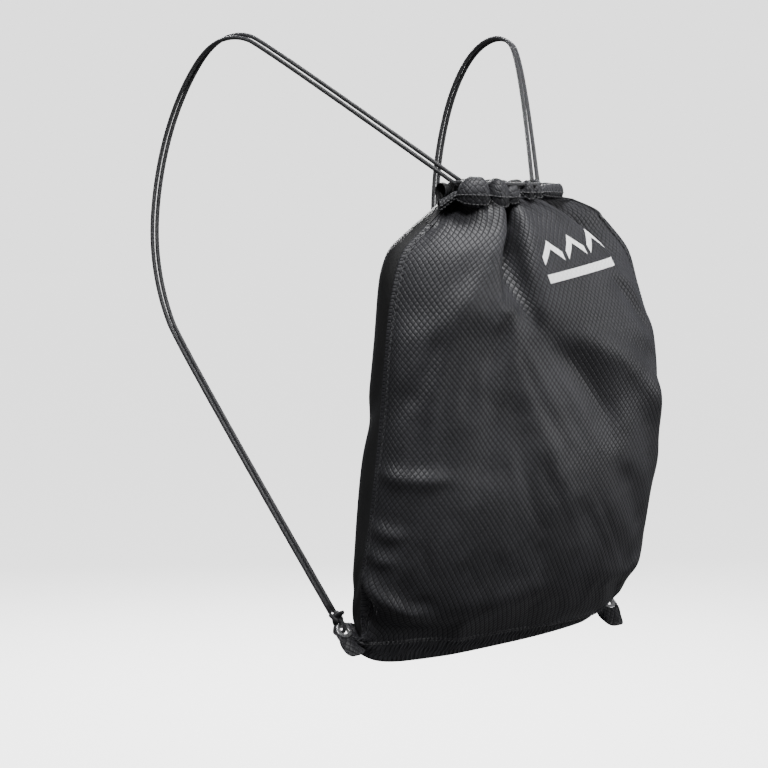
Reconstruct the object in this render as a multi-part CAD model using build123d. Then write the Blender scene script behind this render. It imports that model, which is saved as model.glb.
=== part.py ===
from build123d import *
from math import atan, radians, sin, tan
import os

# Drawstring backpack, carried: cinched shut, filled, straps taut as over a wearer's shoulders.
# Millimetres. +Z up, front face towards -Y, wearer on +Y. The origin is the middle of the
# back panel, where it lies on the wearer's back.

# ---------------------------------------------------------------- driving dimensions
BAG_BOTTOM = -212.0          # lower edge of the bottom hem
PANEL_TOP = 187.0            # where the panels meet the drawcord casings
SEAM_TOP = 172.0             # side seams stop here, and the slits of the mouth start
GATHER_START = 115.0         # the front panel's gathered top starts here
WALL = 1.6                   # thickness given to the cloth walls
SEAM_GAP = 0.4               # room between the front and back panels along the seam
SEAM_WIDTH = 3.0             # how far the side seams stand out
SEAM_DEPTH = 7.0
CORD = 4.0                   # diameter of the drawcord
BORE_CLEARANCE = 0.35        # room around a cord in its casing
CASING_HEIGHT = 18.0
CASING_DEPTH = 13.0
CASING_MIDDLE = PANEL_TOP + 0.8 + CASING_HEIGHT / 2
HEM_HEIGHT = 11.0
HEM_DEPTH = 4.0
THREAD = 0.7                 # sewing thread, drawn thick enough to be seen
EYELET_HOLE = 8.0
EYELET_BARREL = 9.2          # hole in the corner patch
EYELET_FLANGE = 15.0
PATCH_THICK = 2.4
PATCH_WIDTH = 17.0
PATCH_ABOVE = 8.0            # from the eyelet's middle to the patch's edge, towards the strap
PATCH_BELOW = 27.0           # and away from it, down to the hem
KNOT = 11.0                  # end knot of a strap
KNOT_REACH = 14.0            # from the eyelet's middle to the knot's middle
TAIL_LENGTH = 11.0
BALL_GAP = 0.6               # room between a strap's end and the knot it turns on

# Level, middle x, half width, front y, seam y, back y: the filled bag's lens-shaped sections.
LOWER_SECTIONS = [
    (BAG_BOTTOM + HEM_HEIGHT + 0.6, -2, 128, -54, -48, -42),
    (-190, -1, 136, -76, -49, -20),
    (-160, 2, 143, -93, -50, -8),
    (-110, 9, 149, -105, -51, -2),
    (-50, 16, 150, -110, -52, 0),
    (10, 20, 148, -110, -52, 0),
    (65, 20, 143, -105, -52, -2),
    (GATHER_START, 19, 132, -97, -52, -7),
]
UPPER_SECTIONS = [
    (GATHER_START + 0.6, 19, 132, -97, -52, -7),
    (150, 19, 115, -89, -53, -14),
    (SEAM_TOP, 18, 92, -80, -54, -25),
    (PANEL_TOP, 9, 68, -74, -54, -32),
]

# Middle line of each strap's pair of cords, from the mouth to the knot at the bottom corner.
# The long first and last runs are the taut stretches. Between them the pair goes over a
# shoulder, down the chest and under an arm.
LEFT_EXIT = Vector(-42, -52, 200)
RIGHT_EXIT = Vector(39, -52, 202)
LEFT_CORNER = Vector(-146, -28, -188)
RIGHT_CORNER = Vector(142, -28, -188)
LEFT_ROUTE = [
    (-157, 90, 325), (-158, 138, 338), (-160, 188, 331), (-168, 220, 298), (-180, 236, 252),
    (-190, 241, 198), (-196, 236, 145), (-196, 219, 95), (-192, 190, 51),
]
RIGHT_ROUTE = [
    (126, 92, 326), (136, 138, 350), (138, 188, 340), (134, 220, 303), (129, 236, 252),
    (125, 241, 198), (122, 236, 145), (118, 219, 95), (114, 190, 51),
]
# Across the pair, at each of those points: which way the first cord lies from the middle.
LEFT_SIDES = [
    (0.62, -0.05, 0.78), (0.80, 0.0, 0.60), (0.95, 0.0, 0.31), (1, 0, 0), (1, 0, 0),
    (1, 0, 0), (1, 0, 0), (0.97, 0.0, 0.24), (0.86, 0.30, 0.40),
]
RIGHT_SIDES = [
    (-0.55, 0.15, 0.50), (-0.80, 0.20, 0.30), (-0.97, 0.0, 0.10), (-1, 0, 0), (-1, 0, 0),
    (-1, 0, 0), (-1, 0, 0), (-0.97, 0.0, 0.24), (-0.86, -0.10, 0.40),
]
PAIR_HALF = 2.4              # from the middle line to each cord's own line
PRINT_MIDDLE = (66, 131)     # x and z of the printed mark's middle
PRINT_THICK = 0.4


# ---------------------------------------------------------------- helpers
os.makedirs("parts", exist_ok=True)


def save(name, shapes):
    """Writes one node: one or more separate solids."""
    solids = shapes if isinstance(shapes, list) else [shapes]
    solids = [s for shape in solids for s in shape.solids()]
    export_step(solids[0] if len(solids) == 1 else Compound(children=solids), f"parts/{name}.step")


def wall_section(level, middle, half, face_y, seam_y):
    """A thin crescent across the bag: one panel's wall at one level."""
    way = 1 if face_y > seam_y else -1
    edge_y = seam_y + way * SEAM_GAP / 2
    rise = abs(face_y - edge_y)
    inset = WALL / sin(2 * atan(rise / half))
    ends = [(middle - half, edge_y), (middle + half, edge_y)]
    inner = [(middle + half - inset, edge_y), (middle - half + inset, edge_y)]
    with BuildSketch(Plane.XY.offset(level)) as section:
        with BuildLine():
            ThreePointArc(ends[0], (middle, face_y), ends[1])
            Line(ends[1], inner[0])
            ThreePointArc(inner[0], (middle, face_y - way * WALL), inner[1])
            Line(inner[1], ends[0])
        make_face()
    return section.sketch


def panel(sections, front):
    """A panel's wall through the given sections."""
    faces = [
        wall_section(z, middle, half, front_y if front else back_y, seam_y)
        for z, middle, half, front_y, seam_y, back_y in sections
    ]
    return loft(faces, ruled=True)


def cord_radii(points):
    """The bend radius at each inner point: as large as its two runs allow."""
    radii = []
    for before, here, after in zip(points, points[1:], points[2:]):
        run_in, run_out = here - before, after - here
        half_turn = radians(run_in.get_angle(run_out) / 2)
        radii.append(0.45 * min(run_in.length, run_out.length) / tan(half_turn))
    return radii


def cord_tube(name, points, diameter=CORD):
    """A round tube of straight runs joined by tangent arcs. Prints its radii and its length."""
    points = [Vector(p) for p in points]
    radii = cord_radii(points)
    path = FilletPolyline(*points, radius=radii) if radii else Line(points[0], points[1])
    start = Plane(origin=path @ 0, z_dir=path % 0)
    tube = sweep(start * Circle(diameter / 2), path=path)
    expected = Circle(diameter / 2).area * path.length
    shown = " ".join(f"{r:.0f}" for r in radii)
    print(f"{name}: length {path.length:.0f}, volume ratio {tube.volume / expected:.3f}, radii {shown}")
    return tube


def bar_along(points, across, depth):
    """A slim bar of rectangular section through points that rise in Z."""
    faces = [Plane.XY.offset(p[2]) * Pos(p[0], p[1]) * Rectangle(across, depth) for p in points]
    return loft(faces, ruled=True)


def seam_edge(side, out=0.0, sections=LOWER_SECTIONS + UPPER_SECTIONS[1:3]):
    """Points up one side of the bag, out beyond the panels' edge by the given distance."""
    return [
        (middle + side * (half + out), seam_y, z)
        for z, middle, half, _, seam_y, _ in sections
    ]


# ---------------------------------------------------------------- cloth body
def make_panels():
    save("front_panel", panel(LOWER_SECTIONS, front=True))
    save("front_gathers", panel(UPPER_SECTIONS, front=True))
    save("back_panel", panel(LOWER_SECTIONS + UPPER_SECTIONS[1:], front=False))


def make_side_seams():
    for name, side in (("left", -1), ("right", 1)):
        edge = seam_edge(side, SEAM_WIDTH / 2 + 0.3)
        save(f"{name}_side_seam", bar_along(edge, SEAM_WIDTH, SEAM_DEPTH))
        thread = seam_edge(side, SEAM_WIDTH + 0.3 + THREAD)
        save(f"{name}_seam_stitching", bar_along(thread, THREAD, THREAD))
        top = Vector(*edge[-1]) + Vector(0, 0, 1.6)
        save(f"{name}_slit_bartack", Pos(top.X, top.Y, top.Z) * Box(SEAM_WIDTH, SEAM_DEPTH, 2.4))


def make_bottom_hem():
    _, middle, half, _, seam_y, _ = LOWER_SECTIONS[0]
    centre = Pos(middle, seam_y, BAG_BOTTOM + HEM_HEIGHT / 2)
    hem = centre * Box(2 * half, HEM_DEPTH, HEM_HEIGHT)
    save("bottom_hem", fillet(hem.edges().filter_by(Axis.X), 1.2))
    row = Pos(middle, seam_y - HEM_DEPTH / 2 - THREAD, BAG_BOTTOM + HEM_HEIGHT * 0.72)
    save("bottom_hem_stitching", row * Box(2 * half - 6, THREAD, THREAD))


# ---------------------------------------------------------------- drawcord casings
# Left end, right end and middle line's y of each casing, gathered up on the cords.
CASINGS = {"front": (-34.0, 30.0, -68.0), "back": (-30.0, 31.0, -38.0)}
CORD_LEVEL = CASING_MIDDLE + 2.5
CORD_BESIDE = 2.6            # each cord lies this far to its own side of the casing's middle
EXIT_BEND = 5.0              # a cord turns towards its exit this far beyond the casing's end
EXIT_GAP = 3.2               # room between a run's tip and the strap that goes on from it


def make_casings():
    for name, (x0, x1, y) in CASINGS.items():
        length = x1 - x0
        middle = Pos((x0 + x1) / 2, y, CASING_MIDDLE)
        casing = middle * Box(length, CASING_DEPTH, CASING_HEIGHT)
        casing = fillet(casing.edges().filter_by(Axis.X), 5.5)
        for beside in (-CORD_BESIDE, CORD_BESIDE):
            bore = Cylinder(CORD / 2 + BORE_CLEARANCE, length + 2)
            casing -= Pos((x0 + x1) / 2, y + beside, CORD_LEVEL) * Rot(0, 90, 0) * bore
        save(f"{name}_channel", casing)
        face = -1 if name == "front" else 1
        row_y = y + face * (CASING_DEPTH / 2 + THREAD)
        rows = [
            Pos((x0 + x1) / 2, row_y, CASING_MIDDLE + rise) * Box(length - 10, THREAD, THREAD)
            for rise in (-3.0, 0.0)
        ]
        save(f"{name}_channel_stitching", rows)


def make_channel_cords():
    """Each cord lies in both casings and leaves them at its own side of the mouth."""
    for name, exit_point, side in (("left", LEFT_EXIT, -1), ("right", RIGHT_EXIT, 1)):
        for casing, way in (("front", -1), ("back", 1)):
            x0, x1, middle_y = CASINGS[casing]
            near, far = (x0, x1) if side < 0 else (x1, x0)
            y = middle_y - way * side * CORD_BESIDE
            start = Vector(far + side * 3, y, CORD_LEVEL)
            bend = Vector(near + side * EXIT_BEND, y, CORD_LEVEL)
            meet = exit_point + pair_up(name) * (-way * PAIR_HALF)
            tip = meet + (bend - meet).normalized() * (CORD / 2 + EXIT_GAP)
            save(f"{name}_cord_{casing}_run", cord_tube(f"{name} cord, {casing} run", [start, bend, tip]))


# ---------------------------------------------------------------- bottom corners
def pull_direction(corner, route):
    return (Vector(*route[-1]) - corner).normalized()


def corner_plane(corner, route, side):
    """At the eyelet: x towards the bag, z out of the corner's face, y along the left corner's pull
    and against the right corner's."""
    pull = pull_direction(corner, route)
    inward = Vector(-side, 0.0, 0.0)
    inward = (inward - pull * inward.dot(pull)).normalized()
    face = inward.cross(pull) * (1 if side < 0 else -1)
    return Plane(origin=corner, x_dir=inward, z_dir=face)


def make_corner(name, corner, route, side):
    plane = corner_plane(corner, route, side)
    patch = Pos(-1, (PATCH_BELOW - PATCH_ABOVE) / 2 * side)
    patch *= Box(PATCH_WIDTH, PATCH_ABOVE + PATCH_BELOW, PATCH_THICK)
    patch = fillet(patch.edges().filter_by(Axis.Z), 4)
    patch -= Cylinder(EYELET_BARREL / 2 + 0.05, 10)
    save(f"{name}_corner_patch", plane * patch)
    rim = PATCH_THICK / 2 + 0.05
    flange = Pos(0, 0, rim + 0.5) * Cylinder(EYELET_FLANGE / 2, 1.0)
    barrel = Pos(0, 0, 0.2) * Cylinder(EYELET_BARREL / 2, PATCH_THICK + 0.9)
    eyelet = flange + barrel - Cylinder(EYELET_HOLE / 2, 12)
    eyelet = fillet(eyelet.edges().sort_by(Axis.Z)[-2:], 0.35)
    save(f"{name}_eyelet", plane * eyelet)
    washer = Pos(0, 0, -rim - 0.4) * Cylinder(EYELET_FLANGE / 2 - 0.5, 0.8)
    washer -= Cylinder(EYELET_BARREL / 2 + 0.1, 12)
    save(f"{name}_eyelet_washer", plane * washer)
    reach = -side * KNOT_REACH
    loop = Pos(0, reach / 2) * Rot(0, 90, 0) * Torus(KNOT_REACH / 2, CORD / 2)
    knot = Pos(0, reach) * Sphere(KNOT / 2)
    tails = [
        Pos(across, reach, 4) * Rot(tilt, 0, 0) * Pos(0, 0, TAIL_LENGTH / 2) * Cylinder(1.5, TAIL_LENGTH)
        for across, tilt in ((-1.8, 12 * side), (1.9, 20 * side))
    ]
    save(f"{name}_end_knot", plane * (loop + knot + tails[0] + tails[1]))


# ---------------------------------------------------------------- straps
def knot_centre(corner, route):
    return corner + pull_direction(corner, route) * KNOT_REACH


def pair_up(name):
    """Along the line that a strap turns about, from its knot up to the mouth."""
    if name == "left":
        return (LEFT_EXIT - knot_centre(LEFT_CORNER, LEFT_ROUTE)).normalized()
    return (RIGHT_EXIT - knot_centre(RIGHT_CORNER, RIGHT_ROUTE)).normalized()


def make_strap(name, exit_point, corner, route, sides):
    up = pair_up(name)
    knot = knot_centre(corner, route)
    pull = pull_direction(corner, route)
    across_end = (Vector(*sides[-1]) - pull * Vector(*sides[-1]).dot(pull)).normalized()
    bottom = knot + pull * (KNOT / 2 + BALL_GAP + 0.5)
    for label, sign in (("outer", 1), ("inner", -1)):
        points = [exit_point + up * (sign * PAIR_HALF)]
        for point, side in zip(route, sides):
            points.append(Vector(*point) + Vector(*side).normalized() * (sign * PAIR_HALF))
        points.append(bottom + across_end * (sign * (CORD / 2 + 0.15)))
        strand = cord_tube(f"{name} strap, {label} cord", points)
        strand += Pos(*points[0]) * Sphere(CORD / 2)
        save(f"{name}_strap_{label}_cord", strand)
    print(f"{name} strap turns about {exit_point} and {knot}")


# ---------------------------------------------------------------- front print
def print_skin():
    """A thin skin just in front of the gathered cloth, for the print to be cut from."""
    faces = []
    for z, middle, half, front_y, seam_y, _ in UPPER_SECTIONS[:3]:
        x0, x1 = middle - half, middle + half
        near, far = -PRINT_THICK / 2, -PRINT_THICK * 3 / 2
        with BuildSketch(Plane.XY.offset(z)) as section:
            with BuildLine():
                ThreePointArc((x0, seam_y + near), (middle, front_y + near), (x1, seam_y + near))
                Line((x1, seam_y + near), (x1, seam_y + far))
                ThreePointArc((x1, seam_y + far), (middle, front_y + far), (x0, seam_y + far))
                Line((x0, seam_y + far), (x0, seam_y + near))
            make_face()
        faces.append(section.sketch)
    return loft(faces, ruled=True)


def make_print():
    """Three chevrons over a bar, printed on the upper right of the front."""
    half, rise, stroke = 9.5, 9.0, 6.0
    outline = [(-half, 0), (0, rise), (half, 0), (half, stroke), (0, rise + stroke), (-half, stroke)]
    shapes = [Pos(step * 24) * Polygon(*outline, align=None) for step in (-1, 0, 1)]
    shapes.append(Pos(0, -10) * Rectangle(70, 6.5))
    place = Plane(origin=(PRINT_MIDDLE[0], 0, PRINT_MIDDLE[1]), x_dir=(1, 0, 0), z_dir=(0, -1, 0))
    skin = print_skin()
    save("front_print", [skin & extrude(place * shape, 140) for shape in shapes])


make_panels()
make_side_seams()
make_bottom_hem()
make_casings()
make_channel_cords()
make_corner("left", LEFT_CORNER, LEFT_ROUTE, -1)
make_corner("right", RIGHT_CORNER, RIGHT_ROUTE, 1)
make_strap("left", LEFT_EXIT, LEFT_CORNER, LEFT_ROUTE, LEFT_SIDES)
make_strap("right", RIGHT_EXIT, RIGHT_CORNER, RIGHT_ROUTE, RIGHT_SIDES)
make_print()
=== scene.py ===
import math

import bpy
import numpy as np
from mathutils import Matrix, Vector


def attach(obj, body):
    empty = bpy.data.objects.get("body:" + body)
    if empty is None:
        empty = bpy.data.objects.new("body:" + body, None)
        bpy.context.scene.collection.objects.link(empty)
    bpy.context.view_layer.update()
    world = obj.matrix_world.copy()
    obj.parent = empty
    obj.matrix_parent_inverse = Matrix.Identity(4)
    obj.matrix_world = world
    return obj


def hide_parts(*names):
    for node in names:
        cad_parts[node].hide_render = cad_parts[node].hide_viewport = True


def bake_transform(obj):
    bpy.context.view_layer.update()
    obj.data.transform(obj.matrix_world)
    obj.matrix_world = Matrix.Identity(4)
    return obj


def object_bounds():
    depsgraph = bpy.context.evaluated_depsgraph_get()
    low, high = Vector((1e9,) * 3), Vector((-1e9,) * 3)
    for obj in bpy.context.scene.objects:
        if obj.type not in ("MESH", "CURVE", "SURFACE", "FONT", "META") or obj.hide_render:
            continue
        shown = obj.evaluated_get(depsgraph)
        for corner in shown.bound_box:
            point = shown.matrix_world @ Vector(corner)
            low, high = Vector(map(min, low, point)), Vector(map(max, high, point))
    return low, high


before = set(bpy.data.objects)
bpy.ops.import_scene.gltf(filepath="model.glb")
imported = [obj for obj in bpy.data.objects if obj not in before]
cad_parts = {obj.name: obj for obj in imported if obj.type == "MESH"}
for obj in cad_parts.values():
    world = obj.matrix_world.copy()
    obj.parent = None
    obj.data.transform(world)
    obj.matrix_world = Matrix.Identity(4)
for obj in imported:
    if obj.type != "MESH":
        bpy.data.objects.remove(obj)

# A drawstring backpack as it is carried: cinched, filled, its cord straps taut. Metres.
# +Z up, front face towards -Y, the wearer's back at y = 0.

CAD_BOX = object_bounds()
MM = 0.001
TURN = 2 * math.pi
SCENE = bpy.context.scene


def vec(*v):
    return Vector(v)


# ---- camera, floor and light
CAMERA_TURN = math.radians(-35)      # from straight in front, towards the bag's left
CAMERA_DISTANCE = 2.0
CAMERA_HEIGHT = 0.164
BAG_MIDDLE = vec(0, -0.055, CAMERA_HEIGHT)
CAMERA_LENS = 106.0                  # millimetres
AIM_SIDE, AIM_DOWN = -0.103, -0.141  # the picture's centre, seen from the bag's middle
FLOOR = CAD_BOX[0][2] - 0.35
FLOOR_REACH = 30.0
FLOOR_GLOW = 2.0
SKY_ON_THE_BAG, SKY_SEEN = 0.18, 2.15
# Name, place, what it points at, size and power of each lamp.
LAMPS = [
    ("key", (-0.85, -1.1, 1.8), (0, -0.05, 0.05), 0.6, 54),
    ("top", (0.25, -0.45, 1.9), (0, -0.05, 0.1), 0.7, 62),
    ("side", (1.6, -1.3, 0.3), (0, -0.05, -0.05), 0.8, 26),
    ("behind", (0.9, 1.8, 1.0), (0, 0, 0), 1.0, 76),
]


def make_camera():
    data = bpy.data.cameras.new("camera")
    data.lens = CAMERA_LENS
    camera = bpy.data.objects.new("camera", data)
    SCENE.collection.objects.link(camera)
    back = vec(math.sin(CAMERA_TURN), -math.cos(CAMERA_TURN), 0)
    right = vec(math.cos(CAMERA_TURN), math.sin(CAMERA_TURN), 0)
    camera.location = BAG_MIDDLE + back * CAMERA_DISTANCE
    aim = BAG_MIDDLE + right * AIM_SIDE + vec(0, 0, AIM_DOWN)
    camera.rotation_euler = (aim - camera.location).to_track_quat("-Z", "Y").to_euler()
    SCENE.camera = camera


def area_light(name, place, aim, size, power):
    data = bpy.data.lights.new(name, "AREA")
    data.shape, data.size, data.energy = "DISK", size, power
    light = bpy.data.objects.new(name, data)
    light.location = place
    light.rotation_euler = (Vector(aim) - Vector(place)).to_track_quat("-Z", "Y").to_euler()
    SCENE.collection.objects.link(light)


def make_sky():
    """A white sky that looks brighter than it lights the bag."""
    world = bpy.data.worlds.new("studio")
    SCENE.world = world
    world.use_nodes = True
    sky = world.node_tree.nodes["Background"]
    sky.inputs["Color"].default_value = (1, 1, 1, 1)
    seen = world.node_tree.nodes.new("ShaderNodeLightPath").outputs["Is Camera Ray"]
    strength = world.node_tree.nodes.new("ShaderNodeMapRange")
    strength.inputs["To Min"].default_value = SKY_ON_THE_BAG
    strength.inputs["To Max"].default_value = SKY_SEEN
    world.node_tree.links.new(seen, strength.inputs["Value"])
    world.node_tree.links.new(strength.outputs["Result"], sky.inputs["Strength"])


make_camera()
make_sky()
for lamp in LAMPS:
    area_light(*lamp)

# ---- materials
CELL_WIDE, CELL_TALL = 0.0050, 0.0063   # a diamond of the ripstop, corner to corner
THREAD_PITCH = 0.00045       # of the fine weave between the diamonds' lines
LINE_STARTS, LINE_FULL = 0.78, 0.95     # across half a cell
PLAITS = 8                   # strands each way round a cord
PLAIT_PITCH = 0.009          # along the cord, one turn of a strand


class Look:
    """A material and a short way to write its node graph."""

    def __init__(self, name, **constants):
        self.material = bpy.data.materials.new(name)
        self.material.use_nodes = True
        self.tree = self.material.node_tree
        self.shader = self.tree.nodes["Principled BSDF"]
        for key, value in constants.items():
            self.shader.inputs[key.replace("_", " ")].default_value = value

    def node(self, kind, settings=(), **inputs):
        node = self.tree.nodes.new(kind)
        for key, value in dict(settings).items():
            setattr(node, key, value)
        for key, value in inputs.items():
            self.feed(node.inputs[key.replace("_", " ")], value)
        return node

    def feed(self, socket, value):
        if isinstance(value, bpy.types.NodeSocket):
            self.tree.links.new(value, socket)
        else:
            socket.default_value = value

    def math(self, operation, *values):
        node = self.node("ShaderNodeMath", {"operation": operation})
        for socket, value in zip(node.inputs, values):
            self.feed(socket, value)
        return node.outputs[0]

    def smooth(self, value, low, high, to_low=0.0, to_high=1.0):
        node = self.node("ShaderNodeMapRange", {"interpolation_type": "SMOOTHSTEP"}, Value=value)
        for key, number in zip(("From Min", "From Max", "To Min", "To Max"), (low, high, to_low, to_high)):
            node.inputs[key].default_value = number
        return node.outputs["Result"]

    def mix(self, factor, a, b):
        node = self.node("ShaderNodeMix", {"data_type": "RGBA"})
        for socket, value in zip((node.inputs[0], node.inputs[6], node.inputs[7]), (factor, a, b)):
            self.feed(socket, value)
        return node.outputs[2]

    def noise(self, scale, detail=3.0, rough=0.5):
        where = self.node("ShaderNodeTexCoord").outputs["Object"]
        node = self.node("ShaderNodeTexNoise", (), Vector=where, Scale=scale, Detail=detail, Roughness=rough)
        return node.outputs["Fac"]

    def flat(self):
        """The flat cloth's own coordinates, in metres: across and up."""
        uv = self.node("ShaderNodeUVMap", {"uv_map": "flat"}).outputs["UV"]
        parts = self.node("ShaderNodeSeparateXYZ", (), Vector=uv)
        return parts.outputs["X"], parts.outputs["Y"]

    def edge(self, value):
        """1 on whole numbers, 0 halfway between them."""
        away = self.math("ABSOLUTE", self.math("SUBTRACT", self.math("FRACT", value), 0.5))
        return self.math("MULTIPLY", away, 2.0)

    def finish(self, color, roughness, height, distance):
        self.feed(self.shader.inputs["Base Color"], color)
        self.feed(self.shader.inputs["Roughness"], roughness)
        bump = self.node("ShaderNodeBump", (), Height=height, Distance=distance, Strength=1.0)
        self.feed(self.shader.inputs["Normal"], bump.outputs["Normal"])
        return self.material


def diamond_weave(look):
    """(how much of a lattice line, how puffed a cell) of the diamond ripstop."""
    u, v = look.flat()
    across, up = look.math("DIVIDE", u, CELL_WIDE), look.math("DIVIDE", v, CELL_TALL)
    one = look.edge(look.math("ADD", across, up))
    two = look.edge(look.math("SUBTRACT", across, up))
    lines = look.math("MAXIMUM", *(look.smooth(e, LINE_STARTS, LINE_FULL) for e in (one, two)))
    soft = [look.math("SUBTRACT", 1.0, look.math("POWER", e, 3.0)) for e in (one, two)]
    return lines, look.math("MULTIPLY", *soft)


def fine_weave(look):
    waves = [look.math("SINE", look.math("MULTIPLY", c, TURN / THREAD_PITCH)) for c in look.flat()]
    return look.math("MULTIPLY", *waves)


def cloth_look(name, shine, cell, line=None):
    """Black cloth with worn, uneven colour and a fine weave, and diamonds where line is their colour."""
    look = Look(name, Sheen_Weight=0.02, Sheen_Roughness=0.3, Sheen_Tint=(0.75, 0.82, 1, 1),
                IOR=1.46, Specular_IOR_Level=shine)
    mottle, grain = look.noise(26, 4), look.noise(1400, 2)
    weave = fine_weave(look)
    worn = look.smooth(mottle, 0.3, 0.75, 0.82, 1.22)
    dark, light = ((*(c * share for c in cell), 1) for share in (0.8, 1.2))
    shade = look.mix(look.smooth(grain, 0.25, 0.75), dark, light)
    if line:
        lines, puff = diamond_weave(look)
        shade = look.mix(look.math("MULTIPLY", lines, 0.85), shade, (*line, 1))
        sunk = look.math("SUBTRACT", puff, look.math("MULTIPLY", lines, 0.35))
        height, distance = look.math("MULTIPLY_ADD", weave, 0.05, sunk), 0.00030
        roughness = look.math("MULTIPLY_ADD", lines, 0.3, look.smooth(mottle, 0.3, 0.7, 0.39, 0.48))
    else:
        uneven = look.math("MULTIPLY", look.noise(220, 3), 0.8)
        height, distance = look.math("MULTIPLY_ADD", weave, 0.25, uneven), 0.00016
        roughness = look.smooth(mottle, 0.3, 0.7, 0.49, 0.59)
    tone = look.node("ShaderNodeHueSaturation", (), Value=worn, Color=shade).outputs["Color"]
    return look.finish(tone, roughness, height, distance)


def cord_look():
    look = Look("braided_cord", Sheen_Weight=0.1, Sheen_Roughness=0.4, Sheen_Tint=(0.85, 0.88, 1, 1))
    turn, along = look.flat()
    spin = look.math("DIVIDE", along, PLAIT_PITCH)
    one = look.edge(look.math("MULTIPLY", look.math("ADD", turn, spin), PLAITS))
    two = look.edge(look.math("MULTIPLY", look.math("SUBTRACT", turn, spin), PLAITS))
    gap = look.math("MAXIMUM", look.smooth(one, 0.6, 1.0), look.smooth(two, 0.6, 1.0))
    fibre = look.noise(2600, 2)
    shade = look.mix(look.smooth(fibre, 0.3, 0.7), (0.010, 0.010, 0.011, 1), (0.024, 0.024, 0.027, 1))
    # Painted shade: the cord's colour is darkened in the gaps between its plaits, where shade falls.
    shade = look.mix(look.math("MULTIPLY", gap, 0.7), shade, (0.006, 0.006, 0.007, 1))
    height = look.math("SUBTRACT", look.math("MULTIPLY", fibre, 0.3), gap)
    return look.finish(shade, look.smooth(fibre, 0.2, 0.8, 0.42, 0.6), height, 0.00022)


def thread_look():
    look = Look("sewing_thread", Sheen_Weight=0.1)
    twist = look.node("ShaderNodeTexWave", (), Vector=look.node("ShaderNodeTexCoord").outputs["Object"],
                      Scale=900, Distortion=1.5).outputs["Fac"]
    # Painted highlight and shade: the black thread is coloured lighter than it is, so the stitches show as
    # light dots, lightest on the twist's raised crests and darkest in its grooves.
    shade = look.mix(twist, (0.014, 0.014, 0.016, 1), (0.058, 0.058, 0.063, 1))
    return look.finish(shade, look.smooth(twist, 0, 1, 0.38, 0.55), twist, 0.00005)


def metal_look():
    look = Look("eyelet_nickel", Metallic=1.0)
    wear, fine = look.noise(420, 4), look.noise(3200, 2)
    shade = look.mix(look.smooth(wear, 0.35, 0.7), (0.50, 0.50, 0.52, 1), (0.78, 0.78, 0.80, 1))
    return look.finish(shade, look.smooth(fine, 0.2, 0.8, 0.18, 0.36), fine, 0.00002)


def ink_look():
    look = Look("print_ink", Sheen_Weight=0.05)
    lines, puff = diamond_weave(look)
    grain = look.noise(900, 3)
    shade = look.mix(look.smooth(grain, 0.3, 0.8), (0.80, 0.80, 0.81, 1), (0.93, 0.93, 0.93, 1))
    shade = look.mix(look.math("MULTIPLY", lines, 0.35), shade, (0.52, 0.52, 0.54, 1))
    return look.finish(shade, look.smooth(grain, 0.2, 0.8, 0.42, 0.58), puff, 0.00025)


def make_floor():
    """A plain pale floor, which doesn't light or tint the bag."""
    mesh = bpy.data.meshes.new("floor")
    corners = [(x * FLOOR_REACH, y * FLOOR_REACH, FLOOR) for x, y in ((-1, -1), (1, -1), (1, 1), (-1, 1))]
    mesh.from_pydata(corners, [], [(0, 1, 2, 3)])
    paint = Look("floor", Base_Color=(0.9, 0.9, 0.9, 1), Roughness=0.9,
                 Emission_Color=(1, 1, 1, 1), Emission_Strength=FLOOR_GLOW)
    mesh.materials.append(paint.material)
    floor = bpy.data.objects.new("floor", mesh)
    SCENE.collection.objects.link(floor)
    floor.visible_diffuse = floor.visible_glossy = False


make_floor()
FRONT_LOOK = cloth_look("diamond_ripstop", 0.27, (0.0270, 0.0270, 0.0305), (0.0040, 0.0040, 0.0046))
BACK_LOOK = cloth_look("plain_lining_cloth", 0.32, (0.0095, 0.0095, 0.0100))
CORD_LOOK, THREAD_LOOK, METAL_LOOK, INK_LOOK = cord_look(), thread_look(), metal_look(), ink_look()


# ---- mesh helpers
def lengths_along(line):
    """How far along a line each of its places is."""
    return np.concatenate([[0], np.cumsum(np.linalg.norm(np.diff(line, axis=0), axis=1))])


def frames_along(line, closed=False):
    """A steady pair of cross directions at each point of a line."""
    ahead = np.roll(line, -1, 0) - np.roll(line, 1, 0)
    if not closed:
        ahead[0], ahead[-1] = line[1] - line[0], line[-1] - line[-2]
    ahead /= np.linalg.norm(ahead, axis=1, keepdims=True)
    first = np.cross(ahead[0], (0.3, 0.2, 0.93))
    sides = [first / np.linalg.norm(first)]
    for a in ahead[1:]:
        side = sides[-1] - a * sides[-1].dot(a)
        sides.append(side / np.linalg.norm(side))
    sides = np.array(sides)
    return sides, np.cross(ahead, sides)


def tube(line, radius, turn, closed=False):
    """A ring of points round each place of a line, at the angles in turn."""
    across, up = frames_along(line, closed)
    return (
        line[:, None] + across[:, None] * (radius * np.cos(turn))[..., None]
        + up[:, None] * (radius * np.sin(turn))[..., None]
    )


def grid_faces(rows, columns, flip=False, closed=False, looped=False):
    """Faces between neighbours: closed joins each row's ends, looped the last row to the first."""
    faces = []
    for j in range(rows if looped else rows - 1):
        low, high = j * columns, (j + 1) % rows * columns
        for i in range(columns if closed else columns - 1):
            k = (i + 1) % columns
            face = (low + i, low + k, high + k, high + i)
            faces.append(face[::-1] if flip else face)
    return faces


def end_caps(rings, sides):
    return [tuple(range(sides))[::-1], tuple(range((rings - 1) * sides, rings * sides))]


def grid_normals(grid):
    along, up = np.gradient(grid, axis=1), np.gradient(grid, axis=0)
    normal = np.cross(along, up)
    return normal / np.maximum(np.linalg.norm(normal, axis=-1, keepdims=True), 1e-12)


def joined(parts):
    """Several (points, faces, uv) as one."""
    points, faces, uv, start = [], [], [], 0
    for p, f, t in parts:
        points.append(p)
        uv.append(t)
        faces += [tuple(k + start for k in face) for face in f]
        start += len(p)
    return np.concatenate(points), faces, np.concatenate(uv)


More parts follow.
